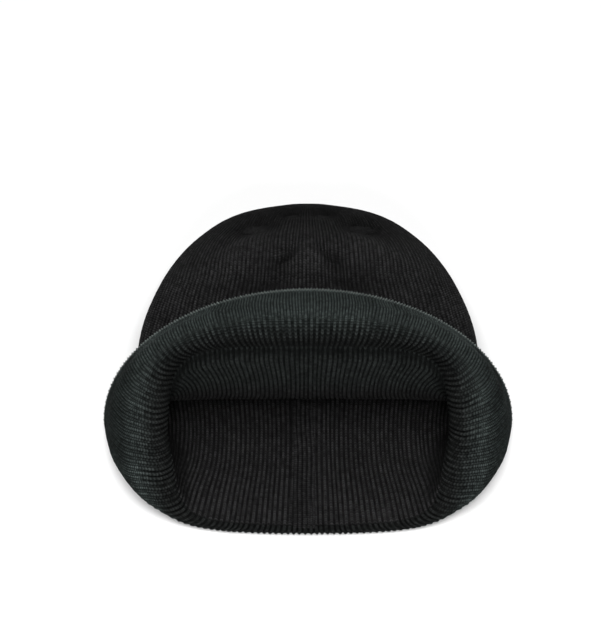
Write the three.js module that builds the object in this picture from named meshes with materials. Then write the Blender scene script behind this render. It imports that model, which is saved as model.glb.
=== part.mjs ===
// A cuffed rib-knit cap lying on its back.
// Millimetres, +Z up. The mouth opens towards -Y and the crown points to +Y, with X across
// the width. The flattened back wall lies on z = 0 and the origin is under the middle of the
// hat's footprint.
import * as THREE from 'three';

// ---------------------------------------------------------------- driving dimensions
const KNIT = 2.6;            // thickness of one layer of the knit
const GAP = 0.3;             // clearance between neighbouring pieces
const FOLD_TRIM = 2.0;       // how far the body stops short of the middle of the cuff's fold
const HALF_WALES = 25;       // facets from the middle of the back to the middle of the front
const BODY_ROWS = 2;         // rows of facets between two rings of the body
const CUFF_ROWS = 2;         // and of the cuff
const ORIGIN_Y = 108.4;      // the rings below are measured from the mouth's front edge
const SEAM_LEFT = -8.5;      // the seam allowance inside the back wall: its two long edges
const SEAM_RIGHT = 3.5;
const SEAM_HEIGHT = 1.1;     // how far the seam allowance stands up

// Rings of the body's middle surface, from the cuff's fold to the closed end.
//   yb, zb  lowest point, in the middle of the back wall
//   yt, zt  highest point, in the middle of the front wall
//   w       half the width, reached at ym, zm
//   nb, nt  squareness of the lower and the upper half (2 is an ellipse)
//   bow     how far the back wall curves away from the mouth towards its sides
//   tb, tt  how much narrower the lower and the upper side are than the middle, as a share
//   ws      share of the half's wales that lie in its lower half
const BODY = [
  { at: 'fold',       yb:   3.2, zb:  4.4, yt:  74.0, zt: 79.5, w: 77.4, ym:  43.0, zm: 40.0, nb: 7.0, nt: 5.0, bow: 4.0, tb: 0.09, tt: 0.055, ws: 0.475 },
  { at: 'mouth',      yb:  21.0, zb:  4.4, yt: 75.0, zt: 62.0, w: 80.5, ym: 46.0, zm: 30.0, nb: 8.0, nt: 4.4, bow: 4.0, tb: 0.14, tt: 0.05, ws: 0.49 },
  { at: 'mid_mouth',  yb:  44.0, zb:  4.4, yt: 76.0, zt: 40.0, w: 83.8, ym: 58.0, zm: 18.0, nb: 8.0, nt: 4.0, bow: 1.0, tb: 0.165, tt: 0.03, ws: 0.50 },
  { at: 'neck',       yb:  68.0, zb:  4.0, yt:  77.6, zt: 21.5, w: 89.6, ym: 70.0, zm: 11.5, nb: 3.6, nt: 3.6, bow: 0.0, tb: 0.03, tt: 0.0, ws: 0.50 },
  { at: 'valley_in',  yb:  78.0, zb:  1.9, yt:  79.4, zt: 14.6, w:  93.0, ym:  76.5, zm: 10.5, nb: 3.5, nt: 3.8, bow: 0.0, tb: 0.0, tt: 0.0, ws: 0.50 },
  { at: 'valley',     yb:  85.5, zb:  1.3, yt:  83.2, zt: 11.9, w:  95.3, ym:  82.0, zm:  9.0, nb: 3.5, nt: 4.0, bow: 0.0, tb: 0.0, tt: 0.0, ws: 0.50 },
  { at: 'valley_out', yb:  93.0, zb:  1.3, yt:  87.2, zt: 15.6, w:  96.8, ym:  89.0, zm: 10.5, nb: 3.6, nt: 3.6, bow: 0.0, tb: 0.0, tt: 0.0, ws: 0.49 },
  { at: 'rise',       yb: 101.0, zb:  1.3, yt:  91.0, zt: 28.5, w:  97.5, ym:  98.5, zm: 13.5, nb: 3.8, nt: 3.0, bow: 0.0, tb: 0.0, tt: 0.0, ws: 0.48 },
  { at: 'brow',       yb: 112.0, zb:  1.3, yt:  98.0, zt: 45.0, w:  97.6, ym: 109.5, zm: 16.0, nb: 3.9, nt: 2.6, bow: 0.0, tb: 0.0, tt: 0.0, ws: 0.47 },
  { at: 'front',      yb: 126.0, zb:  1.3, yt: 112.0, zt: 57.5, w:  95.6, ym: 124.0, zm: 17.5, nb: 3.8, nt: 2.4, bow: 0.0, tb: 0.0, tt: 0.0, ws: 0.465 },
  { at: 'top',        yb: 145.0, zb:  1.3, yt: 134.0, zt: 62.5, w:  90.0, ym: 143.0, zm: 18.0, nb: 3.7, nt: 2.3, bow: 0.0, tb: 0.0, tt: 0.0, ws: 0.465 },
  { at: 'top_far',    yb: 166.0, zb:  1.3, yt: 158.0, zt: 57.4, w:  81.0, ym: 164.0, zm: 18.0, nb: 3.5, nt: 2.25, bow: 0.0, tb: 0.0, tt: 0.0, ws: 0.47 },
  { at: 'slope',      yb: 185.0, zb:  1.8, yt: 179.5, zt: 46.0, w: 67.8, ym: 183.5, zm: 17.5, nb: 3.1, nt: 2.4, bow: 0.0, tb: 0.0, tt: 0.0, ws: 0.48 },
  { at: 'end_1',      yb: 199.0, zb:  3.6, yt: 195.5, zt: 38.0, w: 53.2, ym: 198.0, zm: 16.5, nb: 2.7, nt: 2.38, bow: 0.0, tb: 0.0, tt: 0.0, ws: 0.49 },
  { at: 'end_2',      yb: 209.0, zb:  7.0, yt: 206.8, zt: 27.5, w: 36.5, ym: 208.3, zm: 15.5, nb: 2.3, nt: 2.42, bow: 0.0, tb: 0.0, tt: 0.0, ws: 0.50 },
  { at: 'end_3',      yb: 214.5, zb: 10.8, yt: 214.0, zt: 20.4, w:  18.0, ym: 214.3, zm: 15.3, nb: 2.1, nt: 2.2, bow: 0.0, tb: 0.0, tt: 0.0, ws: 0.50 },
];
const APEX = { y: 216.2, z: 15.2 };

// Rings of the cuff's middle surface in the same columns, from the fold inside the mouth, round
// its rolled lip, to the free edge.
const CUFF = [
  { at: 'fold',     yb:   3.2, zb: 4.4, yt:  74.0, zt: 79.5, w: 77.4, ym: 43.0, zm: 40.0, nb: 7.0, nt: 5.0,  bow: 4.0, tb: 0.09, tt: 0.055, ws: 0.475 },
  { at: 'under',    yb:   1.4, zb: 3.9, yt:  70.6, zt: 85.5, w: 79.2, ym: 38.5, zm: 45.0, nb: 7.0, nt: 4.8,  bow: 4.3, tb: 0.075, tt: 0.05, ws: 0.480 },
  { at: 'lip',      yb:   0.6, zb: 2.8, yt:  70.6, zt: 91.5, w: 83.4, ym: 35.4, zm: 49.0, nb: 7.5, nt: 4.2,  bow: 5.6, tb: 0.055, tt: 0.04, ws: 0.495 },
  { at: 'crest',    yb:   1.6, zb: 1.6, yt:  75.5, zt: 94.8, w: 88.6, ym: 35.2, zm: 48.5, nb: 5.3, nt: 3.3,  bow: 5.2, tb: 0.02, tt: 0.02, ws: 0.510 },
  { at: 'brow',     yb:   8.0, zb: 1.3, yt:  85.5, zt: 91.6, w: 97.0, ym: 38.5, zm: 44.5, nb: 4.3, nt: 2.5,  bow: 1.0, tb: 0.0, tt: 0.0, ws: 0.520 },
  { at: 'shoulder', yb:  25.0, zb: 1.3, yt:  97.0, zt: 84.0, w: 107.0, ym: 47.6, zm: 33.0, nb: 4.4, nt: 2.3,  bow: 0.0, tb: 0.0, tt: 0.0, ws: 0.525 },
  { at: 'skirt',    yb:  44.0, zb: 1.3, yt: 108.0, zt: 75.0, w: 112.0, ym: 57.0, zm: 19.0, nb: 5.0, nt: 2.05, bow: 0.0, tb: 0.0, tt: 0.0, ws: 0.530 },
  { at: 'edge',     yb:  62.0, zb: 1.3, yt: 118.0, zt: 66.5, w: 115.6, ym: 68.0, zm: 7.2, nb: 4.0, nt: 1.98,  bow: 0.0, tb: 0.0, tt: 0.0, ws: 0.530 },
];

// Folds and dents of the upper side of the crown, seen in plan.
//   x, y    middle of the fold (each one has a twin on the other side of the hat)
//   turn    direction of its long axis from +X, degrees
//   long, wide   its half length and half width
//   rise    height above the plain surface, negative for a dent
const FOLDS = [
  { at: 'middle_pucker', x:   0.0, y: 150.0, turn: 90, long: 15.5, wide:  9.0, rise:  7.0 },
  { at: 'end_dent', x:  10.0, y: 196.0, turn: 20, long:  9.0, wide:  6.5, rise: -8.0 },
  { at: 'side_dent', x:  31.0, y: 180.0, turn: 160, long: 13.0, wide:  9.0, rise: -8.6 },
  { at: 'lower_crease', x:  13.0, y: 146.5, turn: 141, long:  9.5, wide:  4.6, rise: -8.0 },
  { at: 'swag', x:  35.0, y: 152.0, turn: 150, long: 20.0, wide:  9.0, rise:  6.5 },
  { at: 'front_hollow', x:  22.0, y: 127.0, turn: 0, long: 18.0, wide:  7.0, rise: -5.6 },
];

// ---------------------------------------------------------------- curves
// Monotone cubic through the points xs, ys.
function monotone(xs, ys, x) {
  const n = xs.length;
  const h = [], d = [], m = new Array(n).fill(0);
  for (let i = 0; i < n - 1; i++) { h.push(xs[i + 1] - xs[i]); d.push((ys[i + 1] - ys[i]) / h[i]); }
  for (let i = 1; i < n - 1; i++) {
    if (d[i - 1] * d[i] > 0) {
      const a = 2 * h[i] + h[i - 1], b = h[i] + 2 * h[i - 1];
      m[i] = (a + b) / (a / d[i - 1] + b / d[i]);
    }
  }
  m[0] = d[0]; m[n - 1] = d[n - 2];
  let k = 0;
  while (k < n - 2 && x > xs[k + 1]) k++;
  const t = (x - xs[k]) / h[k], t2 = t * t, t3 = t2 * t;
  return (2 * t3 - 3 * t2 + 1) * ys[k] + (t3 - 2 * t2 + t) * h[k] * m[k]
    + (-2 * t3 + 3 * t2) * ys[k + 1] + (t3 - t2) * h[k] * m[k + 1];
}

// Smooth cubic through rows of a table, with the slope at a row taken from its neighbours.
function smooth(xs, ys, x) {
  const n = xs.length;
  const slope = (i) => {
    if (i === 0) return (ys[1] - ys[0]) / (xs[1] - xs[0]);
    if (i === n - 1) return (ys[n - 1] - ys[n - 2]) / (xs[n - 1] - xs[n - 2]);
    const a = xs[i] - xs[i - 1], b = xs[i + 1] - xs[i];
    return ((ys[i + 1] - ys[i]) / b * a + (ys[i] - ys[i - 1]) / a * b) / (a + b);
  };
  let k = 0;
  while (k < n - 2 && x > xs[k + 1]) k++;
  const h = xs[k + 1] - xs[k], t = (x - xs[k]) / h, t2 = t * t, t3 = t2 * t;
  return (2 * t3 - 3 * t2 + 1) * ys[k] + (t3 - 2 * t2 + t) * h * slope(k)
    + (-2 * t3 + 3 * t2) * ys[k + 1] + (t3 - t2) * h * slope(k + 1);
}

// One ring of wales: points from the middle of the back, over +X, to the middle of the front
// and back over -X.
function ring(r, half = HALF_WALES) {
  const dense = 600, pts = [], len = [0];
  for (let i = 0; i <= dense; i++) {
    const a = Math.PI * i / dense, low = i <= dense / 2;
    const e = 2 / (low ? r.nb : r.nt);
    const sx = Math.pow(Math.abs(Math.sin(a)), e), k = Math.pow(Math.abs(Math.cos(a)), e);
    const y0 = low ? r.yb : r.yt, z0 = low ? r.zb : r.zt;
    const bow = low ? r.bow * sx * sx * k : 0;
    pts.push(new THREE.Vector3(r.w * sx * (1 - (low ? r.tb : r.tt) * k), r.ym + (y0 - r.ym) * k + bow, r.zm + (z0 - r.zm) * k));
    if (i) len.push(len[i - 1] + pts[i].distanceTo(pts[i - 1]));
  }
  const total = len[dense], side = len[dense / 2];
  const out = [];
  for (let j = 0; j <= half; j++) {
    const t = Math.min(total, Math.max(0, monotone([0, r.ws, 1], [0, side, total], j / half)));
    let k = 1;
    while (k < dense && len[k] < t) k++;
    out.push(pts[k - 1].clone().lerp(pts[k], (t - len[k - 1]) / (len[k] - len[k - 1])));
  }
  for (const p of [out[0], out[half]]) p.x = 0;
  for (let j = half - 1; j > 0; j--) out.push(new THREE.Vector3(-out[j].x, out[j].y, out[j].z));
  return out;
}

// ---------------------------------------------------------------- the body's middle surface
const COLUMNS = ['yb', 'zb', 'yt', 'zt', 'w', 'ym', 'zm', 'nb', 'nt', 'bow', 'tb', 'tt', 'ws'];

// Mean distance travelled from the first ring of a table to each of its rings.
function travelOf(table) {
  const t = [0];
  for (let i = 1; i < table.length; i++) {
    const a = table[i - 1], b = table[i];
    t.push(t[i - 1] + (Math.hypot(b.yb - a.yb, b.zb - a.zb) + Math.hypot(b.yt - a.yt, b.zt - a.zt)
      + Math.hypot(b.w - a.w, b.ym - a.ym, b.zm - a.zm)) / 3);
  }
  return t;
}

// The ring of a table at travel s, and a list of travels with some rows between the rings.
function ringAt(table, travel, s) {
  const r = {};
  for (const c of COLUMNS) r[c] = smooth(travel, table.map((row) => row[c]), s);
  return r;
}
function stops(travel, per) {
  const out = [];
  for (let i = 0; i < travel.length - 1; i++) {
    for (let k = 0; k < per; k++) out.push(travel[i] + (travel[i + 1] - travel[i]) * k / per);
  }
  out.push(travel[travel.length - 1]);
  return out;
}

// The knit lies flat where it touches the surface under it.
function settle(rows) {
  for (const row of rows) {
    for (const p of row) {
      const h = p.z - KNIT / 2;
      p.z = KNIT / 2 + (h < 0.4 ? 0 : h - 0.4 * Math.exp(-(h - 0.4) / 2));
    }
  }
}

// Height of the crown's folds at a point of its upper side.
function foldHeight(p) {
  let h = 0;
  for (const f of FOLDS) {
    for (const side of f.x === 0 ? [1] : [1, -1]) {
      const a = THREE.MathUtils.degToRad(side > 0 ? f.turn : 180 - f.turn);
      const dx = p.x - side * f.x, dy = p.y - f.y;
      const u = (dx * Math.cos(a) + dy * Math.sin(a)) / f.long;
      const v = (-dx * Math.sin(a) + dy * Math.cos(a)) / f.wide;
      h += f.rise * Math.exp(-(u * u + v * v));
    }
  }
  return h;
}

function bodyRows() {
  const travel = travelOf(BODY);
  const rows = stops(travel, BODY_ROWS).map((s) => ring(ringAt(BODY, travel, s)));
  rows[0].forEach((p, j) => p.addScaledVector(rows[1][j].clone().sub(p).normalize(), FOLD_TRIM));
  for (const row of rows) {
    for (const p of row) {
      const up = THREE.MathUtils.smoothstep(p.z, 20, 34) * THREE.MathUtils.smoothstep(p.y, 112, 126);
      p.z += up * foldHeight(p);
    }
  }
  settle(rows);
  return rows;
}

// ---------------------------------------------------------------- shells
// Unit normals of a grid of rows, closed round each row.
function normals(rows, pole) {
  const n = rows.length, m = rows[0].length;
  return rows.map((row, i) => row.map((p, j) => {
    const along = (i < n - 1 ? rows[i + 1][j] : (pole || row[j])).clone().sub(i > 0 ? rows[i - 1][j] : row[j]);
    const round = row[(j + 1) % m].clone().sub(row[(j + m - 1) % m]);
    return new THREE.Vector3().crossVectors(round, along).normalize();
  }));
}

function offset(rows, nrm, d) {
  return rows.map((row, i) => row.map((p, j) => p.clone().addScaledVector(nrm[i][j], d)));
}

// Joins two closed rows of points by triangles that face along round x along.
function strip(tri, a, b) {
  const m = a.length;
  for (let j = 0; j < m; j++) {
    const k = (j + 1) % m;
    if (j < m / 2) tri.push(a[j], a[k], b[k], a[j], b[k], b[j]);
    else tri.push(a[j], a[k], b[j], a[k], b[k], b[j]);
  }
}

// Joins all the rows of a grid. Each cell is split along the diagonal that lies nearer the
// smooth surface through the points round it.
function skin(tri, rows, flip) {
  const n = rows.length, m = rows[0].length, share = [-1, 9, 9, -1];
  const middle = (p, q) => p.clone().add(q).multiplyScalar(0.5);
  for (let i = 0; i < n - 1; i++) {
    for (let j = 0; j < m; j++) {
      const at = new THREE.Vector3();
      for (let a = 0; a < 4; a++) {
        const row = rows[Math.min(n - 1, Math.max(0, i + a - 1))];
        for (let b = 0; b < 4; b++) at.addScaledVector(row[(j + b - 1 + m) % m], share[a] * share[b] / 256);
      }
      const k = (j + 1) % m, p = rows[i][j], q = rows[i][k], r = rows[i + 1][k], s = rows[i + 1][j];
      const one = middle(p, r).distanceTo(at), two = middle(q, s).distanceTo(at);
      const first = Math.abs(one - two) < 0.01 ? j < m / 2 : one < two;
      const cell = first ? [p, q, r, p, r, s] : [p, q, s, q, r, s];
      if (flip) cell.reverse();
      tri.push(...cell);
    }
  }
}

function solid(tri) {
  const pos = new Float32Array(tri.length * 3);
  tri.forEach((p, i) => { pos[3 * i] = p.x; pos[3 * i + 1] = p.y - ORIGIN_Y; pos[3 * i + 2] = p.z; });
  const g = new THREE.BufferGeometry();
  g.setAttribute('position', new THREE.BufferAttribute(pos, 3));
  g.computeVertexNormals();
  return g;
}

// ---------------------------------------------------------------- crown
// The body from just behind the cuff's fold to the closed end, hollow all the way.
function crownGeometry() {
  const rows = bodyRows();
  const pole = new THREE.Vector3(0, APEX.y, APEX.z);
  const nrm = normals(rows, pole);
  rows.forEach((row, i) => row.forEach((p, j) => {
    if (p.z < KNIT / 2 + 0.02 && nrm[i][j].z < -0.9) nrm[i][j].set(0, 0, -1);
  }));
  const outer = offset(rows, nrm, KNIT / 2), inner = offset(rows, nrm, -KNIT / 2);
  for (const row of outer) for (const p of row) p.z = Math.max(p.z, 0);
  const poleOut = pole.clone().add(new THREE.Vector3(0, KNIT / 2, 0));
  const poleIn = pole.clone().add(new THREE.Vector3(0, -KNIT / 2, 0));
  const tri = [];
  const n = rows.length, m = rows[0].length;
  skin(tri, outer, false);
  skin(tri, inner, true);
  for (let j = 0; j < m; j++) {
    const k = (j + 1) % m;
    tri.push(outer[n - 1][j], outer[n - 1][k], poleOut, inner[n - 1][k], inner[n - 1][j], poleIn);
  }
  strip(tri, inner[0], outer[0]);
  return solid(tri);
}

// ---------------------------------------------------------------- cuff
// The turned-up band: it rolls out of the mouth's edge, over the fold, and back to its free
// edge. It lies flat under the back wall, stands on its free edge at the sides and arches over
// the front of the crown.
function cuffGeometry() {
  const travel = travelOf(CUFF);
  const rows = stops(travel, CUFF_ROWS).map((s) => ring(ringAt(CUFF, travel, s)));
  settle(rows);
  const nrm = normals(rows, null);
  rows.forEach((row, i) => row.forEach((p, j) => {
    if (p.z < KNIT / 2 + 0.02 && Math.abs(nrm[i][j].z) > 0.9) nrm[i][j].set(0, 0, 1);
  }));
  const outer = offset(rows, nrm, -KNIT / 2), inner = offset(rows, nrm, KNIT / 2);
  for (const side of [outer, inner]) for (const row of side) for (const p of row) p.z = Math.max(p.z, 0);
  const tri = [], n = rows.length;
  skin(tri, inner, false);
  skin(tri, outer, true);
  strip(tri, outer[0], inner[0]);
  strip(tri, inner[n - 1], outer[n - 1]);
  return solid(tri);
}

// ---------------------------------------------------------------- back seam
// The seam allowance lies along the inside of the back wall, a little to one side.
function seamGeometry() {
  const travel = travelOf(BODY);
  const path = stops(travel, BODY_ROWS).slice(1, -7).map((s) => {
    const r = ringAt(BODY, travel, s);
    return [r.yb, r.zb + KNIT / 2 + GAP + 0.05];
  });
  const section = ([y, z]) => [
    new THREE.Vector3(SEAM_LEFT, y, z), new THREE.Vector3(SEAM_RIGHT, y, z),
    new THREE.Vector3(SEAM_RIGHT, y, z + 0.5 * SEAM_HEIGHT), new THREE.Vector3(SEAM_LEFT + 3.5, y, z + SEAM_HEIGHT),
    new THREE.Vector3(SEAM_LEFT, y, z + 0.9 * SEAM_HEIGHT),
  ];
  const rings = path.map(section), tri = [];
  for (let i = 0; i < rings.length - 1; i++) strip(tri, rings[i + 1], rings[i]);
  const first = rings[0], last = rings[rings.length - 1];
  for (let j = 1; j < first.length - 1; j++) {
    tri.push(first[0], first[j], first[j + 1], last[0], last[j + 1], last[j]);
  }
  return solid(tri);
}

// ---------------------------------------------------------------- the hat
const bodyKnit = new THREE.MeshStandardMaterial({ color: 0x1d1d1e, roughness: 0.95, metalness: 0 });
const cuffKnit = new THREE.MeshStandardMaterial({ color: 0x2b2f2e, roughness: 0.97, metalness: 0 });
const seamKnit = new THREE.MeshStandardMaterial({ color: 0x202021, roughness: 0.95, metalness: 0 });

function piece(name, geometry, material) {
  const mesh = new THREE.Mesh(geometry, material);
  mesh.name = name;
  return mesh;
}

const hat = new THREE.Group();
hat.add(piece('crown', crownGeometry(), bodyKnit));
hat.add(piece('cuff', cuffGeometry(), cuffKnit));
hat.add(piece('back_seam', seamGeometry(), seamKnit));

export default hat;
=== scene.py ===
# A cuffed rib-knit cap lying on its back: the visual model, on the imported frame.
# Lengths in the tables are in millimetres. y is measured from the mouth's front edge, and
# ORIGIN_Y moves it to the frame. Every wale of the knit is modelled: each repeat of the rib has
# one raised wale on either face of the cloth.
import bpy
import math
import numpy as np
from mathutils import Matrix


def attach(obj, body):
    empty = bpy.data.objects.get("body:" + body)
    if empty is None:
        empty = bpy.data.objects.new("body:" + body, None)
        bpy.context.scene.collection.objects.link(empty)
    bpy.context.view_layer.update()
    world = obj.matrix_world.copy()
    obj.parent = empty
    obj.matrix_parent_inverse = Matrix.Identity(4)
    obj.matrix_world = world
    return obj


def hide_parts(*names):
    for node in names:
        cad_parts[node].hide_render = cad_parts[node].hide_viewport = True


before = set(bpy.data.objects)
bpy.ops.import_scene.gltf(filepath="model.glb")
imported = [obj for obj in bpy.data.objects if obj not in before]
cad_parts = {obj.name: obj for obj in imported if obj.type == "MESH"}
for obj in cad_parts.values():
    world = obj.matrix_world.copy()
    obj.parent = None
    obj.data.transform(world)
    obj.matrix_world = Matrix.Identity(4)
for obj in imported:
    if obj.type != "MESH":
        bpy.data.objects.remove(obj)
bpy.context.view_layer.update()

# ------------------------------------------------------------------ sizes
KNIT = 2.6            # thickness of one layer of the knit, from wale top to wale top
ORIGIN_Y = 108.4
REPEATS = 156         # rib repeats round the hat
PER = 8               # columns of points in a repeat
COLS = REPEATS * PER
HALF = COLS // 2
RELIEF = 0.62         # half the depth from wale top to the gap between wales
RELAXED = 2.56        # width of a repeat that isn't stretched
COURSE = 1.3          # height of one course of stitches
COARSE = 4            # inside the closed crown only each fourth column is kept
SEAM_LEFT, SEAM_RIGHT, SEAM_HEIGHT = -8.5, 3.5, 1.1

COLUMN = ["yb", "zb", "yt", "zt", "w", "ym", "zm", "nb", "nt", "bow", "tb", "tt", "ws"]

# Rings of the body from the cuff's fold to the closed end, in the columns above: lowest point
# in the middle of the back wall, highest point in the middle of the front wall, half width and
# where it is reached, squareness of the lower and upper half, bow of the back wall, how much
# narrower the lower and the upper side are than the middle, and the share of the wales in the
# lower half.
BODY = {
    "fold":       (3.2, 4.4, 74.0, 79.5, 77.4, 43.0, 40.0, 7.0, 5.0, 4.0, 0.09, 0.055, 0.475),
    "mouth":      (21.0, 4.4, 75.0, 62.0, 80.5, 46.0, 30.0, 8.0, 4.4, 4.0, 0.14, 0.05, 0.49),
    "mid_mouth":  (44.0, 4.4, 76.0, 40.0, 83.8, 58.0, 18.0, 8.0, 4.0, 1.0, 0.165, 0.03, 0.50),
    "neck":       (68.0, 4.0, 77.6, 21.5, 89.6, 70.0, 11.5, 3.6, 3.6, 0.0, 0.03, 0.0, 0.50),
    "valley_in":  (78.0, 1.9, 79.4, 14.6, 93.0, 76.5, 10.5, 3.5, 3.8, 0.0, 0.0, 0.0, 0.50),
    "valley":     (85.5, 1.3, 83.2, 11.9, 95.3, 82.0, 9.0, 3.5, 4.0, 0.0, 0.0, 0.0, 0.50),
    "valley_out": (93.0, 1.3, 87.2, 15.6, 96.8, 89.0, 10.5, 3.6, 3.6, 0.0, 0.0, 0.0, 0.49),
    "rise":       (101.0, 1.3, 91.0, 28.5, 97.5, 98.5, 13.5, 3.8, 3.0, 0.0, 0.0, 0.0, 0.48),
    "brow":       (112.0, 1.3, 98.0, 45.0, 97.6, 109.5, 16.0, 3.9, 2.6, 0.0, 0.0, 0.0, 0.47),
    "front":      (126.0, 1.3, 112.0, 57.5, 95.6, 124.0, 17.5, 3.8, 2.4, 0.0, 0.0, 0.0, 0.465),
    "top":        (145.0, 1.3, 134.0, 62.5, 90.0, 143.0, 18.0, 3.7, 2.3, 0.0, 0.0, 0.0, 0.465),
    "top_far":    (166.0, 1.3, 158.0, 57.4, 81.0, 164.0, 18.0, 3.5, 2.25, 0.0, 0.0, 0.0, 0.47),
    "slope":      (185.0, 1.8, 179.5, 46.0, 67.8, 183.5, 17.5, 3.1, 2.4, 0.0, 0.0, 0.0, 0.48),
    "end_1":      (199.0, 3.6, 195.5, 38.0, 53.2, 198.0, 16.5, 2.7, 2.38, 0.0, 0.0, 0.0, 0.49),
    "end_2":      (209.0, 7.0, 206.8, 27.5, 36.5, 208.3, 15.5, 2.3, 2.42, 0.0, 0.0, 0.0, 0.50),
    "end_3":      (214.5, 10.8, 214.0, 20.4, 18.0, 214.3, 15.3, 2.1, 2.2, 0.0, 0.0, 0.0, 0.50),
}
APEX = (216.2, 15.2)

# Rings of the cuff from the fold inside the mouth, round its rolled lip, to its free edge.
CUFF = {
    "fold":     (3.2, 4.4, 74.0, 79.5, 77.4, 43.0, 40.0, 7.0, 5.0, 4.0, 0.09, 0.055, 0.475),
    "under":    (1.4, 3.9, 70.6, 85.5, 79.2, 38.5, 45.0, 7.0, 4.8, 4.3, 0.075, 0.05, 0.480),
    "lip":      (0.6, 2.8, 70.6, 91.5, 83.4, 35.4, 49.0, 7.5, 4.2, 5.6, 0.055, 0.04, 0.495),
    "crest":    (1.6, 1.6, 75.5, 94.8, 88.6, 35.2, 48.5, 5.3, 3.3, 5.2, 0.02, 0.02, 0.510),
    "brow":     (8.0, 1.3, 85.5, 91.6, 97.0, 38.5, 44.5, 4.3, 2.5, 1.0, 0.0, 0.0, 0.520),
    "shoulder": (25.0, 1.3, 97.0, 84.0, 107.0, 47.6, 33.0, 4.4, 2.3, 0.0, 0.0, 0.0, 0.525),
    "skirt":    (44.0, 1.3, 108.0, 75.0, 112.0, 57.0, 19.0, 5.0, 2.05, 0.0, 0.0, 0.0, 0.530),
    "edge":     (62.0, 1.3, 118.0, 66.5, 115.6, 68.0, 7.2, 4.0, 1.98, 0.0, 0.0, 0.0, 0.530),
}

# Folds and dents of the crown's upper side, seen in plan: middle, direction of the long axis in
# degrees from +X, half length, half width, rise. Each has a twin on the other side.
FOLDS = {
    "middle_pucker": (0.0, 150.0, 90, 15.5, 9.0, 7.0),
    "end_dent": (10.0, 196.0, 20, 9.0, 6.5, -8.0),
    "side_dent": (31.0, 180.0, 160, 13.0, 9.0, -8.6),
    "lower_crease": (13.0, 146.5, 141, 9.5, 4.6, -8.0),
    "swag": (35.0, 152.0, 150, 20.0, 9.0, 6.5),
    "front_hollow": (22.0, 127.0, 0, 18.0, 7.0, -5.6),
}


# ------------------------------------------------------------------ curves
def hermite(xs, ys, slope, x):
    k = np.clip(np.searchsorted(xs, x, side="right") - 1, 0, len(xs) - 2)
    h = xs[k + 1] - xs[k]
    t = (x - xs[k]) / h
    t2, t3 = t * t, t * t * t
    return ((2 * t3 - 3 * t2 + 1) * ys[k] + (t3 - 2 * t2 + t) * h * slope[k]
            + (-2 * t3 + 3 * t2) * ys[k + 1] + (t3 - t2) * h * slope[k + 1])


def smooth(xs, ys, x):
    xs, ys = np.asarray(xs, float), np.asarray(ys, float)
    d = np.diff(ys) / np.diff(xs)
    a, b = np.diff(xs)[:-1], np.diff(xs)[1:]
    slope = np.concatenate([[d[0]], (d[1:] * a + d[:-1] * b) / (a + b), [d[-1]]])
    return hermite(xs, ys, slope, x)


def step(x, lo, hi):
    t = np.clip((x - lo) / (hi - lo), 0, 1)
    return t * t * (3 - 2 * t)


def travel_of(table):
    t = [0.0]
    rows = list(table.values())
    for a, b in zip(rows, rows[1:]):
        t.append(t[-1] + (math.hypot(b[0] - a[0], b[1] - a[1]) + math.hypot(b[2] - a[2], b[3] - a[3])
                          + math.dist((b[4], b[5], b[6]), (a[4], a[5], a[6]))) / 3)
    return np.array(t)


def ring_at(table, travel, s):
    cols = np.array(list(table.values())).T
    return {c: float(smooth(travel, cols[i], np.array([s]))[0]) for i, c in enumerate(COLUMN)}


def wander(s, seed):
    """How far the wales stray sideways at travel s, in repeats, for the columns of a half."""
    j = np.arange(HALF + 1) / PER
    out = np.zeros(HALF + 1)
    rng = np.random.default_rng(seed)
    for k in range(7):
        length, turn, run = rng.uniform(3.5, 26), rng.uniform(0, 6.28), rng.uniform(-0.05, 0.05)
        out += 0.05 * np.sin(2 * math.pi * j / length + turn + run * s)
    ends = np.minimum(1, np.minimum(j, j[::-1]) / 3)
    return out * ends


def ring(r, s, crowd):
    """Points round one ring, from the middle of the back over +X and back over -X. crowd says
    how close the wales sit at five places from the middle of the back to the middle of the front."""
    a = np.linspace(0, math.pi, 1201)
    low = a <= math.pi / 2 + 1e-9
    e = 2 / np.where(low, r["nb"], r["nt"])
    sx, k = np.abs(np.sin(a)) ** e, np.abs(np.cos(a)) ** e
    y0, z0 = np.where(low, r["yb"], r["yt"]), np.where(low, r["zb"], r["zt"])
    bow = np.where(low, r["bow"] * sx * sx * k, 0)
    taper = 1 - np.where(low, r["tb"], r["tt"]) * k
    pts = np.stack([r["w"] * sx * taper, r["ym"] + (y0 - r["ym"]) * k + bow, r["zm"] + (z0 - r["zm"]) * k], 1)
    run = np.concatenate([[0], np.cumsum(np.linalg.norm(np.diff(pts, axis=0), axis=1))])
    sides = []
    where = np.where(low, 0.5 * run / run[600], 0.5 + 0.5 * (run - run[600]) / (run[-1] - run[600]))
    close = smooth(np.linspace(0, 1, 5), crowd, where)
    wales = np.concatenate([[0], np.cumsum((close[1:] + close[:-1]) / 2 * np.diff(run))])
    wales /= wales[-1]
    for seed in (11, 12):
        f = np.clip(np.arange(HALF + 1) / HALF + wander(s, seed) * PER / HALF, 0, 1)
        t = np.interp(f, wales, run)
        p = np.stack([np.interp(t, run, pts[:, i]) for i in range(3)], 1)
        p[0, 0] = p[-1, 0] = 0
        sides.append(p)
    left = sides[1][1:-1][::-1] * np.array([-1, 1, 1])
    return np.concatenate([sides[0], left])


def fold_height(p):
    h = np.zeros(len(p))
    for x, y, turn, along, wide, rise in FOLDS.values():
        for side in ((1,) if x == 0 else (1, -1)):
            a = math.radians(turn if side > 0 else 180 - turn)
            dx, dy = p[:, 0] - side * x, p[:, 1] - y
            u = (dx * math.cos(a) + dy * math.sin(a)) / along
            v = (-dx * math.sin(a) + dy * math.cos(a)) / wide
            h += rise * np.exp(-(u * u + v * v))
    return h


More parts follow.
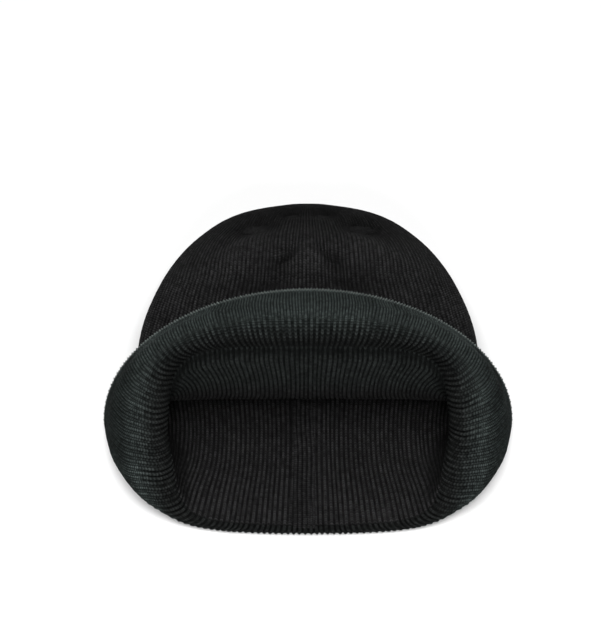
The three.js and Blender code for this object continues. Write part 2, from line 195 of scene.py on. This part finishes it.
def settle(p):
    h = p[:, 2] - KNIT / 2
    p[:, 2] = KNIT / 2 + np.where(h < 0.4, 0, h - 0.4 * np.exp(-(h - 0.4) / 2))


# ------------------------------------------------------------------ the knit's middle surface
body_travel, cuff_travel = travel_of(BODY), travel_of(CUFF)
turn_in = body_travel[list(BODY).index("rise")]
end = body_travel[-1]
body_stops = np.concatenate([[0, 1.2, 2.8], np.linspace(5.0, turn_in, 20), np.linspace(turn_in, end, 29)[1:]])
INNER_ROWS = 23       # rows of the body whose inside can be seen
cuff_stops = np.concatenate([[0, 1.0, 2.2], np.linspace(3.6, cuff_travel[-1] - 1.6, 31), [cuff_travel[-1] - 0.7, cuff_travel[-1]]])

# How close the wales sit, from the middle of the back, over the side, to the middle of the front.
BODY_CROWD = {
    "fold":       (1.00, 0.95, 0.90, 1.05, 1.10),
    "mouth":      (0.98, 0.95, 1.05, 1.00, 1.00),
    "mid_mouth":  (0.98, 0.95, 1.06, 1.02, 1.00),
    "neck":       (1.00, 0.97, 1.16, 1.05, 1.02),
    "valley":     (1.00, 1.00, 1.20, 1.04, 1.01),
    "rise":       (1.00, 1.00, 1.10, 1.10, 1.15),
    "front":      (0.95, 0.95, 0.95, 1.15, 1.30),
    "top":        (0.95, 0.95, 0.90, 1.15, 1.36),
    "end_3":      (1.00, 1.00, 1.00, 1.00, 1.00),
}
CUFF_CROWD = {
    "fold":       (1.00, 0.95, 0.90, 1.05, 1.10),
    "lip":        (1.00, 0.95, 0.92, 1.05, 1.10),
    "edge":       (1.00, 1.00, 0.95, 1.05, 1.08),
}


def crowd_at(crowd, table, travel, s):
    at = [travel[list(table).index(k)] for k in crowd]
    cols = np.array(list(crowd.values())).T
    return [float(np.interp(s, at, c)) for c in cols]


body, lift = [], []
for s in body_stops:
    p = ring(ring_at(BODY, body_travel, s), s, crowd_at(BODY_CROWD, BODY, body_travel, s))
    lift.append(step(p[:, 2], 20, 34) * step(p[:, 1], 112, 126) * fold_height(p))
    p[:, 2] += lift[-1]
    settle(p)
    body.append(p)
cuff = []
for s in cuff_stops:
    p = ring(ring_at(CUFF, cuff_travel, s), -s, crowd_at(CUFF_CROWD, CUFF, cuff_travel, s))
    settle(p)
    cuff.append(p)

# One sheet from the cuff's free edge, over the fold, to the closed end.
grid = np.array(cuff[::-1] + body[1:])
FOLD = len(cuff) - 1
for _ in range(3):    # round the fold where the two tables meet
    for i in range(FOLD - 2, FOLD + 3):
        grid[i] = 0.5 * grid[i] + 0.25 * (grid[i - 1] + grid[i + 1])
pole = np.array([0, APEX[0], APEX[1]])
after = np.concatenate([grid[1:], np.broadcast_to(pole, (1, COLS, 3))])
before = np.concatenate([grid[:1], grid[:-1]])
along = after - before
along /= np.linalg.norm(along, axis=2, keepdims=True)
around = np.roll(grid, -3, axis=1) - np.roll(grid, 3, axis=1)
normal = np.cross(around, along)
normal /= np.maximum(np.linalg.norm(normal, axis=2, keepdims=True), 1e-9)

# ------------------------------------------------------------------ wales
width = np.linalg.norm(np.roll(grid, -PER, axis=1) - np.roll(grid, PER, axis=1), axis=2) / 2
stretch = width / RELAXED
phase = np.arange(COLS) / PER % 1.0


# how far the backs of the wales show between them: fully on the cuff's outer part
far_from_fold = np.concatenate([cuff_stops[::-1], -body_stops[1:]])
spread = np.maximum(step(stretch, 1.12, 1.45) * 0.7, step(far_from_fold, 10, 28)[:, None])


def wale(phase, spread):
    """Height of the rib across a repeat, -1 to 1: one tight wale, or where the knit is spread two
    nearly equal ones, the second being the back of the wale on the other face."""
    tight = np.interp(phase, np.arange(9) / 8, [1, 0.84, 0.20, -0.66, -1, -0.66, 0.20, 0.84, 1])
    double = np.interp(phase, np.arange(9) / 8, [1, 0.10, -1.0, 0.05, 0.92, 0.05, -1.0, 0.10, 1])
    return tight * (1 - spread) + double * spread


relief = RELIEF * np.clip(stretch, 0, 1) * np.clip(1.25 - 0.25 * stretch, 0.7, 1)
# the relaxed wales of the closed crown lie close against each other
shut = np.concatenate([np.zeros(len(cuff)), step(body_stops[1:], body_travel[3], body_travel[8])])[:, None]
wale_in = wale(np.broadcast_to((phase + 0.5) % 1.0, stretch.shape), spread)
wale_out = wale(np.broadcast_to(phase, stretch.shape), spread)
side_in, side_out = KNIT / 2 + relief * (wale_in - 1), KNIT / 2 + relief * (1 - 0.3 * shut) * (wale_out - 1)
# how high a point lies in the rib, 0 in the gap and 1 on a wale; the knit material paints shade by it, darkest in the
# gaps, and the lines below add more painted light and shade to it
painted_light_in, painted_light_out = 0.5 + 0.5 * wale_in, 0.5 + 0.5 * wale_out * (1 - 0.45 * shut) - 0.06 * shut
# painted light and shade: the ridges of the crown's folds are painted lighter and their dents darker
lift = np.concatenate([np.zeros((len(cuff), COLS)), np.array(lift)[1:]])
painted_light_out *= 1 + np.where(lift > 0, 0.100, 0.098) * np.maximum(lift, -9)
# painted shade: the crown's far slope, from the top's far side to the end, is painted a fifth darker
painted_light_out *= 1 - 0.20 * np.concatenate([np.zeros(len(cuff)), step(body_stops[1:], body_travel[11], body_travel[13])])[:, None]
# stretched wales stand open, and more of the gaps shows with its painted shade; this also paints the cuff's stretched
# sides darker
gape = np.concatenate([np.linspace(3.1, 0.2, FOLD + 1), np.zeros(len(grid) - FOLD - 1)])[:, None]
painted_light_in *= np.clip(1 - gape * (stretch / stretch[:, HALF][:, None] - 1), 0.50, 1.06)
# painted shade: the lip's front, where it turns down, and the cuff's outer sides are painted darker
near_lip = step(far_from_fold, 24, 12) * (far_from_fold > 0)
painted_light_in *= 1 - 0.42 * near_lip[:, None] * step(grid[:, :, 2], 66, 82)
painted_light_in *= 1 - 0.44 * step(far_from_fold, 14, 30)[:, None] * step(np.abs(grid[:, :, 0]), 88, 100)
# painted shade: just inside the lip, where the front wall lies back in a crease, the wales are painted darker
crease_shade = np.concatenate([np.zeros(FOLD + 1), step(body_stops[1:], 0, 3) * step(body_stops[1:], 13, 6)])
painted_light_in *= 1 - 0.70 * crease_shade[:, None] * step(grid[:, :, 2], 36, 56)
# painted light: the front wall's inside, where it faces the front, is painted lighter
painted_light_in *= 1 + 0.46 * np.concatenate([np.zeros(FOLD + 1), step(body_stops[1:], 9, 18)])[:, None] * step(-normal[:, :, 1], 0.4, 0.8)
# painted shade: deeper in the mouth, under the front wall, the back wall's upward faces are painted darker
floor_shade = np.concatenate([np.zeros(FOLD + 1), step(body_stops[1:], 6, 34)])[:, None] * step(normal[:, :, 2], 0.6, 0.9)
painted_light_in *= 1 - 0.36 * floor_shade
# the upright sides of the mouth under the cuff's lip are painted in shade, and their wales pressed flatter
inside = np.concatenate([np.zeros(FOLD + 1), step(body_stops[1:], 1, 5) * step(body_stops[1:], body_travel[4], body_travel[3])])
pressed_and_shaded = step(np.abs(normal[:, :, 0]), 0.28, 0.65) * inside[:, None]
painted_light_in *= 1 - 0.72 * pressed_and_shaded
side_in -= relief * pressed_and_shaded * 0.4 * (wale_in - 1)
bead = np.zeros(len(grid))
bead[:3] = (0.12, 0.16, 0.05)     # the cast-on edge is a little thicker
side_in += bead[:, None]
side_out += bead[:, None] * 0.5
scallop = 0.55 * np.cos(2 * math.pi * (phase + 0.5))
for i, k in ((0, 1.0), (1, 0.8), (2, 0.35)):
    grid[i] -= along[i] * (scallop * k)[:, None]

# the groove beside the seam allowance, in the inside of the back wall
under = (normal[:, :, 2] > 0.8) & (grid[:, :, 2] < 9)
groove = 0.75 * np.exp(-((grid[:, :, 0] + 9.6) / 0.8) ** 2) * under
groove[:FOLD + 3] *= np.linspace(0, 1, FOLD + 3)[:, None] ** 12
side_in = side_in - groove

IN = grid + normal * side_in[:, :, None]
OUT = grid - normal * side_out[:, :, None]
for q in (IN, OUT):
    q[:, :, 2] = np.maximum(q[:, :, 2], 0.0)


# ------------------------------------------------------------------ meshes
def to_frame(p):
    return (np.asarray(p, float) - np.array([0, ORIGIN_Y, 0])) / 1000


class Mesh:
    """Points and faces with the knit's own coordinates: repeats round the hat, and courses."""

    def __init__(self):
        self.points, self.count, self.quads, self.tris, self.uq, self.ut = [], 0, [], [], [], []
        self.depth = []

    def row(self, pts, height=0.5):
        ids = np.arange(len(pts)) + self.count
        self.points.append(np.asarray(pts, float))
        self.depth.append(np.broadcast_to(height, (len(pts),)))
        self.count += len(pts)
        return ids

    def strip(self, a, b, va, vb, shift=0.0, flip=False, per=PER, closed=True):
        n = len(a)
        j = np.arange(n if closed else n - 1)
        k = (j + 1) % n
        u0, u1 = j / per + shift, (j + 1) / per + shift
        q = np.stack([a[j], a[k], b[k], b[j]], 1)
        uv = np.stack([np.stack([u0, np.full(len(j), va)], 1), np.stack([u1, np.full(len(j), va)], 1),
                       np.stack([u1, np.full(len(j), vb)], 1), np.stack([u0, np.full(len(j), vb)], 1)], 1)
        if flip:
            q, uv = q[:, ::-1], uv[:, ::-1]
        self.quads.append(q)
        self.uq.append(uv)

    def fan(self, a, point, va, vb, shift=0.0, flip=False, per=PER):
        j = np.arange(len(a))
        k = (j + 1) % len(a)
        t = np.stack([a[j], a[k], np.full(len(a), point)], 1)
        uv = np.stack([np.stack([j / per + shift, np.full(len(j), va)], 1),
                       np.stack([(j + 1) / per + shift, np.full(len(j), va)], 1),
                       np.stack([(j + 0.5) / per + shift, np.full(len(j), vb)], 1)], 1)
        if flip:
            t, uv = t[:, ::-1], uv[:, ::-1]
        self.tris.append(t)
        self.ut.append(uv)

    def narrow(self, a, b, va, vb, shift):
        """From a full row a to a row b with each fourth column."""
        n = len(b)
        k = np.arange(n)
        f = [a[(COARSE * k + i) % len(a)] for i in range(COARSE + 1)]
        b0, b1 = b, b[(k + 1) % n]
        for x, y, z, ux, uy, uz in ((f[0], f[1], b0, 0, 1, 0), (f[1], f[2], b0, 1, 2, 0), (f[2], b1, b0, 2, 4, 0),
                                    (f[2], f[3], b1, 2, 3, 4), (f[3], f[4], b1, 3, 4, 4)):
            self.tris.append(np.stack([x, y, z], 1))
            u = lambda i: (COARSE * k + i) / PER + shift
            top = vb if y is b1 else va
            self.ut.append(np.stack([np.stack([u(ux), np.full(n, va)], 1), np.stack([u(uy), np.full(n, top)], 1),
                                     np.stack([u(uz), np.full(n, vb)], 1)], 1))

    def build(self, name, material):
        pts = to_frame(np.concatenate(self.points))
        quads = np.concatenate(self.quads) if self.quads else np.zeros((0, 4), int)
        tris = np.concatenate(self.tris) if self.tris else np.zeros((0, 3), int)
        me = bpy.data.meshes.new(name)
        me.vertices.add(len(pts))
        me.vertices.foreach_set("co", pts.astype(np.float32).ravel())
        loops = np.concatenate([quads.ravel(), tris.ravel()])
        me.loops.add(len(loops))
        me.loops.foreach_set("vertex_index", loops.astype(np.int32))
        me.polygons.add(len(quads) + len(tris))
        start = np.concatenate([np.arange(len(quads)) * 4, len(quads) * 4 + np.arange(len(tris)) * 3])
        me.polygons.foreach_set("loop_start", start.astype(np.int32))
        me.update(calc_edges=True)
        uv = me.uv_layers.new(name="knit")
        flat = [np.concatenate(u).reshape(-1, 2) for u in (self.uq, self.ut) if u]
        uv.data.foreach_set("uv", np.concatenate(flat).astype(np.float32).ravel())
        # the attribute carries each point's painted light and shade: its place in the rib and the darkening and
        # lightening set above
        depth = me.attributes.new("height", "FLOAT", "POINT")
        depth.data.foreach_set("value", np.concatenate(self.depth).astype(np.float32))
        me.polygons.foreach_set("use_smooth", np.ones(len(me.polygons), dtype=bool))
        me.validate(verbose=False)
        me.materials.append(material)
        ob = bpy.data.objects.new(name, me)
        bpy.context.scene.collection.objects.link(ob)
        return ob


# ------------------------------------------------------------------ materials
class Nodes:
    def __init__(self, name):
        self.mat = bpy.data.materials.new(name)
        self.mat.use_nodes = True
        self.tree = self.mat.node_tree
        self.tree.nodes.clear()

    def add(self, kind, **inputs):
        n = self.tree.nodes.new(kind)
        for k, v in inputs.items():
            setattr(n, k, v)
        return n

    def plug(self, socket, value):
        if isinstance(value, bpy.types.NodeSocket):
            self.tree.links.new(value, socket)
        else:
            socket.default_value = value

    def math(self, op, a, b=0.0, c=0.0, clamp=False):
        n = self.add("ShaderNodeMath", operation=op, use_clamp=clamp)
        for i, v in enumerate((a, b, c)):
            self.plug(n.inputs[i], v)
        return n.outputs[0]

    def ramp(self, x, lo, hi, to_lo=0.0, to_hi=1.0):
        n = self.add("ShaderNodeMapRange", interpolation_type="SMOOTHSTEP")
        for i, v in enumerate((x, lo, hi, to_lo, to_hi)):
            self.plug(n.inputs[i], v)
        return n.outputs[0]

    def noise(self, vector, scale, detail=2.0, rough=0.5):
        n = self.add("ShaderNodeTexNoise")
        self.plug(n.inputs["Vector"], vector)
        n.inputs["Scale"].default_value = scale
        n.inputs["Detail"].default_value = detail
        n.inputs["Roughness"].default_value = rough
        return n.outputs["Fac"]


def knit(name, colour, sheen, edge=None, gap_shade=0.43, fold=None, ceiling=None):
    """Rib knit in the coordinates (repeat, course): V-shaped stitches on the wales, rounded bars
    between them, and a haze of fine fibres over all."""
    m = Nodes(name)
    uv = m.add("ShaderNodeUVMap", uv_map="knit")
    place = m.add("ShaderNodeTexCoord").outputs["Object"]
    xyz = m.add("ShaderNodeSeparateXYZ")
    m.plug(xyz.inputs[0], uv.outputs["UV"])
    u, v = xyz.outputs[0], xyz.outputs[1]
    uneven = m.noise(place, 420.0, 1.0)
    v2 = m.math("MULTIPLY_ADD", uneven, 0.5, v)
    off = m.math("ABSOLUTE", m.math("SUBTRACT", m.math("FRACT", m.math("ADD", u, 0.5)), 0.5))
    on_wale = m.ramp(off, 0.30, 0.20)
    leg = m.math("COSINE", m.math("MULTIPLY", m.math("MULTIPLY_ADD", off, 1.1, v2), 2 * math.pi))
    split = m.ramp(off, 0.0, 0.07, -0.55, 0.0)
    vee = m.math("ADD", m.math("MULTIPLY_ADD", leg, 0.5, 0.5), split)
    back = m.math("SUBTRACT", 0.5, off)
    bar = m.math("COSINE", m.math("MULTIPLY", m.math("ADD", m.math("MULTIPLY_ADD", m.math("MULTIPLY", back, back), -7.0, v2), 0.5), 2 * math.pi))
    bar = m.math("MULTIPLY_ADD", bar, 0.42, 0.3)
    stitch = m.math("ADD", m.math("MULTIPLY", vee, on_wale), m.math("MULTIPLY", bar, m.math("SUBTRACT", 1.0, on_wale)))
    fibre = m.noise(place, 2600.0, 2.0, 0.7)
    fluff = m.noise(place, 900.0, 2.0, 0.6)
    height = m.math("MULTIPLY_ADD", fibre, 0.75, m.math("MULTIPLY_ADD", fluff, 0.5, m.math("MULTIPLY", stitch, 0.8)))
    bump = m.add("ShaderNodeBump")
    bump.inputs["Strength"].default_value = 0.85
    bump.inputs["Distance"].default_value = 0.00042
    m.plug(bump.inputs["Height"], height)

    # colour: painted shade between the stitches, paler fibre ends, and broad uneven patches
    tone = m.math("MULTIPLY_ADD", stitch, 0.80, 0.50)
    tone = m.math("MULTIPLY", tone, m.ramp(m.noise(place, 1500.0, 2.0, 0.65), 0.25, 0.75, 0.72, 1.30))
    tone = m.math("MULTIPLY", tone, m.ramp(m.noise(place, 55.0, 2.0), 0.3, 0.7, 0.92, 1.08))
    tone = m.math("MULTIPLY", tone, m.ramp(m.noise(place, 330.0, 1.0), 0.3, 0.7, 0.85, 1.15))
    cell = m.add("ShaderNodeCombineXYZ")
    m.plug(cell.inputs[0], m.math("FLOOR", m.math("MULTIPLY_ADD", u, 2.0, 0.5)))
    m.plug(cell.inputs[1], m.math("FLOOR", v2))
    dice = m.add("ShaderNodeTexWhiteNoise", noise_dimensions="2D")
    m.plug(dice.inputs["Vector"], cell.outputs[0])
    tone = m.math("MULTIPLY", tone, m.math("MULTIPLY_ADD", dice.outputs["Value"], 0.8, 0.60))
    # painted shade: the colour darkens with the points' attribute, most in the gaps between wales
    rise = m.add("ShaderNodeAttribute", attribute_name="height").outputs["Fac"]
    shaded_tone = m.math("MULTIPLY", m.ramp(rise, 0.02, 0.85, gap_shade, 1.40), tone)
    tint = m.add("ShaderNodeMix", data_type="RGBA", blend_type="MULTIPLY")
    tint.inputs[0].default_value = 1.0
    tint.inputs[6].default_value = (*colour, 1)
    # painted shade: toward the fold the colour turns to the darker fold colour, on the cuff the lip's underside
    if fold is not None:
        turn = m.add("ShaderNodeMix", data_type="RGBA")
        m.plug(turn.inputs[0], m.ramp(v, fold[1], fold[2]))
        turn.inputs[6].default_value = (*colour, 1)
        turn.inputs[7].default_value = (*fold[0], 1)
        m.plug(tint.inputs[6], turn.outputs[2])
    if ceiling is not None:
        at = m.add("ShaderNodeSeparateXYZ")
        m.plug(at.inputs[0], place)
        turn = m.add("ShaderNodeMix", data_type="RGBA")
        m.plug(turn.inputs[0], m.math("MULTIPLY", m.ramp(at.outputs[2], 0.018, 0.042), m.ramp(v, 48.0, 32.0)))
        turn.inputs[6].default_value = (*colour, 1)
        turn.inputs[7].default_value = (*ceiling, 1)
        m.plug(tint.inputs[6], turn.outputs[2])
    grey = m.add("ShaderNodeCombineColor")
    for i in range(3):
        m.plug(grey.inputs[i], shaded_tone)
    m.plug(tint.inputs[7], grey.outputs[0])
    out = tint.outputs[2]
    # painted highlight: near the free edge the fuzz is painted pale, as fuzz lit at a grazing angle
    if edge is not None:
        lift = m.add("ShaderNodeMix", data_type="RGBA")
        near = m.math("MULTIPLY", m.ramp(v, edge[1], 0.0), m.ramp(fluff, 0.25, 0.7, 0.5, 1.0))
        near = m.math("MULTIPLY", near, m.math("MULTIPLY_ADD", dice.outputs["Value"], 0.6, 0.55), clamp=True)
        m.plug(lift.inputs[0], near)
        m.plug(lift.inputs[6], out)
        lift.inputs[7].default_value = (*edge[0], 1)
        out = lift.outputs[2]
    shader = m.add("ShaderNodeBsdfPrincipled")
    m.plug(shader.inputs["Base Color"], out)
    m.plug(shader.inputs["Normal"], bump.outputs[0])
    shader.inputs["Roughness"].default_value = 0.92
    shader.inputs["Specular IOR Level"].default_value = 0.03
    shader.inputs["Sheen Weight"].default_value = sheen[0]
    shader.inputs["Sheen Roughness"].default_value = 0.45
    shader.inputs["Sheen Tint"].default_value = (*sheen[1], 1)
    end_ = m.add("ShaderNodeOutputMaterial")
    m.plug(end_.inputs[0], shader.outputs[0])
    return m.mat


body_knit = knit("body_knit", (0.0122, 0.0122, 0.0124), (0.0, (0.8, 0.82, 0.82)), ceiling=(0.0140, 0.0159, 0.0154))
# the cuff's pale edge colour is a painted highlight, and its dark fold colour is painted shade
cuff_knit = knit("cuff_knit", (0.0290, 0.0358, 0.0343), (0.004, (0.8, 0.9, 0.87)), edge=((0.175, 0.200, 0.191), 4.2), gap_shade=0.26, fold=((0.0078, 0.0084, 0.0082), 38.0, 50.0))
seam_knit = knit("seam_knit", (0.0092, 0.0092, 0.0094), (0.0, (0.8, 0.82, 0.82)))

# ------------------------------------------------------------------ crown
v_body = np.concatenate([[0] * (FOLD + 1), body_stops[1:]]) / COURSE
m = Mesh()
rows = list(range(FOLD, len(grid)))
first = grid[FOLD] + along[FOLD] * 0.02
n0 = normal[FOLD]
outer, inner = [], []
for i in rows:
    if i == FOLD:
        outer.append(m.row(np.maximum(first - n0 * side_out[i][:, None], [-1e9, -1e9, 0]), painted_light_out[i]))
        inner.append(m.row(first + n0 * side_in[i][:, None], painted_light_in[i]))
    else:
        outer.append(m.row(OUT[i], painted_light_out[i]))
        if len(inner) < INNER_ROWS:
            # painted shade: the groove beside the seam allowance is painted darker
            inner.append(m.row(IN[i], painted_light_in[i] * (1 - 0.8 * np.clip(groove[i], 0, 1))))
for a, b, i in zip(outer, outer[1:], rows):
    m.strip(a, b, v_body[i], v_body[i + 1], flip=True)
for a, b, i in zip(inner, inner[1:], rows):
    m.strip(a, b, v_body[i], v_body[i + 1], shift=0.5)
keep = np.arange(0, COLS, COARSE)
last, i = inner[-1], rows[INNER_ROWS - 1]
far = list(range(i + 3, len(grid), 3))
if far[-1] != len(grid) - 1:
    far.append(len(grid) - 1)
previous = None
for r in far:
    q = m.row(grid[r][keep] + normal[r][keep] * 0.9)
    if previous is None:
        m.narrow(last, q, v_body[i], v_body[r], 0.5)
    else:
        m.strip(previous, q, v_body[i], v_body[r], shift=0.5, per=PER / COARSE)
    previous, i = q, r
tip_out = m.row([pole + [0, 1.3, 0]])[0]
tip_in = m.row([pole - [0, 0.9, 0]])[0]
m.fan(outer[-1], tip_out, v_body[-1], v_body[-1] + 1.5, flip=True)
m.fan(previous, tip_in, v_body[-1], v_body[-1] + 1.5, shift=0.5, per=PER / COARSE)
m.strip(outer[0], inner[0], 0, 0)
crown = m.build("knit_crown", body_knit)
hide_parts("crown")
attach(crown, "root")

# ------------------------------------------------------------------ cuff
v_cuff = (cuff_travel[-1] - cuff_stops[::-1]) / COURSE
m = Mesh()
seen = [m.row(IN[i], painted_light_in[i]) for i in range(FOLD + 1)]
hidden = [m.row(OUT[i], painted_light_out[i]) for i in range(FOLD + 1)]
for i in range(FOLD):
    m.strip(seen[i], seen[i + 1], v_cuff[i], v_cuff[i + 1], shift=0.5)
    m.strip(hidden[i], hidden[i + 1], v_cuff[i], v_cuff[i + 1], flip=True)
rim = grid[0] - along[0] * 0.75
rim[:, 2] = np.maximum(rim[:, 2], 0.3)
rim = m.row(rim, 1.0)
m.strip(hidden[0], rim, -0.5, -0.3)
m.strip(rim, seen[0], -0.3, 0.0, shift=0.5)
m.strip(seen[FOLD], hidden[FOLD], v_cuff[FOLD], v_cuff[FOLD] + 0.5)
band = m.build("knit_cuff", cuff_knit)
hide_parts("cuff")
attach(band, "root")

# ------------------------------------------------------------------ seam allowance
# A narrow ribbed strip along the inside of the back wall, with an overcast edge at its left.
ACROSS = 40
m = Mesh()
centre = (grid + normal * (KNIT / 2 - 0.15))[FOLD - 3:, 0, 1:]
centre = centre[:int(np.argmax(centre[:, 0] > 172.0))]
run = np.concatenate([[0], np.cumsum(np.linalg.norm(np.diff(centre, axis=0), axis=1))])
at = np.linspace(0.3, run[-1], 118)
y, z = np.interp(at, run, centre[:, 0]), np.interp(at, run, centre[:, 1])
dy, dz = np.gradient(y), np.gradient(z)
up = np.stack([-dz, dy], 1) / np.hypot(dy, dz)[:, None]
t = np.linspace(0, 1, ACROSS)
x = SEAM_LEFT + (SEAM_RIGHT - SEAM_LEFT) * t
shape = np.minimum(1, np.sqrt(np.clip(t / 0.07, 0, 1))) * np.minimum(1, np.sqrt(np.clip((1 - t) / 0.05, 0, 1)))
slope = np.interp(t, [0, 0.25, 1], [1.0, 0.9, 0.15])
ribs = np.where(t > 0.14, np.cos(2 * math.pi * (x - SEAM_LEFT - 0.9) / RELAXED), 0.2)
top, bottom = [], []
for a, (yy, zz, n) in enumerate(zip(y, z, up)):
    stray = 0.45 * math.sin(at[a] / 19.0) + 0.25 * math.sin(at[a] / 6.7 + 1)
    loop = 0.12 * math.cos(2 * math.pi * at[a] / 3.2)
    fade = float(step(at[a], 0.0, 26.0)) * min(1, max(0.0, run[-1] - at[a]) / 6) ** 0.5
    h = (SEAM_HEIGHT * slope + 0.30 * ribs + loop * np.exp(-(t / 0.10) ** 2)) * shape
    h = 0.10 + 0.28 * ribs * shape * (1 - fade) + fade * h
    top.append(m.row(np.stack([x + stray, yy + n[0] * h, zz + n[1] * h], 1), 0.5 + 0.5 * ribs))
    bottom.append(m.row(np.stack([x + stray, np.full(ACROSS, yy - 0.3 * n[0]), np.full(ACROSS, zz - 0.3 * n[1])], 1)))
per = ACROSS / ((SEAM_RIGHT - SEAM_LEFT) / RELAXED)
for i in range(len(y) - 1):
    v0, v1 = at[i] / COURSE, at[i + 1] / COURSE
    m.strip(top[i], top[i + 1], v0, v1, shift=0.15, per=per, closed=False)
    m.strip(bottom[i], bottom[i + 1], v0, v1, per=per, closed=False, flip=True)
    for k, turn in ((0, True), (-1, False)):
        side = [np.array([top[i][k], bottom[i][k]]), np.array([top[i + 1][k], bottom[i + 1][k]])]
        m.strip(side[0], side[1], v0, v1, per=per, closed=False, flip=turn)
m.strip(top[0], bottom[0], 0, 0.2, per=per, closed=False, flip=True)
m.strip(top[-1], bottom[-1], 0, 0.2, per=per, closed=False)
seam = m.build("knit_back_seam", seam_knit)
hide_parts("back_seam")
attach(seam, "root")

# ------------------------------------------------------------------ floor, light, camera
floor_mesh = bpy.data.meshes.new("floor")
floor_mesh.from_pydata([(-4, -4, -0.0002), (4, -4, -0.0002), (4, 4, -0.0002), (-4, 4, -0.0002)], [], [(0, 1, 2, 3)])
floor = bpy.data.objects.new("floor", floor_mesh)
bpy.context.scene.collection.objects.link(floor)
paint = Nodes("pale_floor")
shader = paint.add("ShaderNodeBsdfPrincipled")
shader.inputs["Base Color"].default_value = (0.66, 0.66, 0.66, 1)
shader.inputs["Roughness"].default_value = 0.9
shader.inputs["Specular IOR Level"].default_value = 0.1
paint.plug(paint.add("ShaderNodeOutputMaterial").inputs[0], shader.outputs[0])
floor_mesh.materials.append(paint.mat)

world = bpy.data.worlds.new("studio")
world.use_nodes = True
world.node_tree.nodes["Background"].inputs[0].default_value = (1.0, 1.0, 1.0, 1)
world.node_tree.nodes["Background"].inputs[1].default_value = 0.09
bpy.context.scene.world = world


def softbox(name, at, size, power):
    light = bpy.data.lights.new(name, "AREA")
    light.shape, light.size, light.energy = "DISK", size, power
    ob = bpy.data.objects.new(name, light)
    ob.location = at
    aim = np.array([0.0, 0.0, 0.03]) - np.array(at)
    ob.rotation_euler = (math.atan2(math.hypot(aim[0], aim[1]), -aim[2]), 0, math.atan2(aim[1], aim[0]) - math.pi / 2)
    bpy.context.scene.collection.objects.link(ob)


softbox("key", (0.0, -0.20, 1.35), 1.1, 32.0)
softbox("front", (0.0, -1.35, 0.80), 0.5, 18.0)

camera = bpy.data.cameras.new("camera")
camera.sensor_width = 36.0
camera.lens = 84.45
camera.clip_start, camera.clip_end = 0.05, 50
eye = bpy.data.objects.new("camera", camera)
eye.location = (-0.0043, -0.4530, 0.7326)
eye.rotation_euler = (math.radians(34.0), 0, 0)
bpy.context.scene.collection.objects.link(eye)
bpy.context.scene.camera = eye
bpy.context.scene.view_settings.view_transform = "Standard"
bpy.context.scene.view_settings.look = "None"
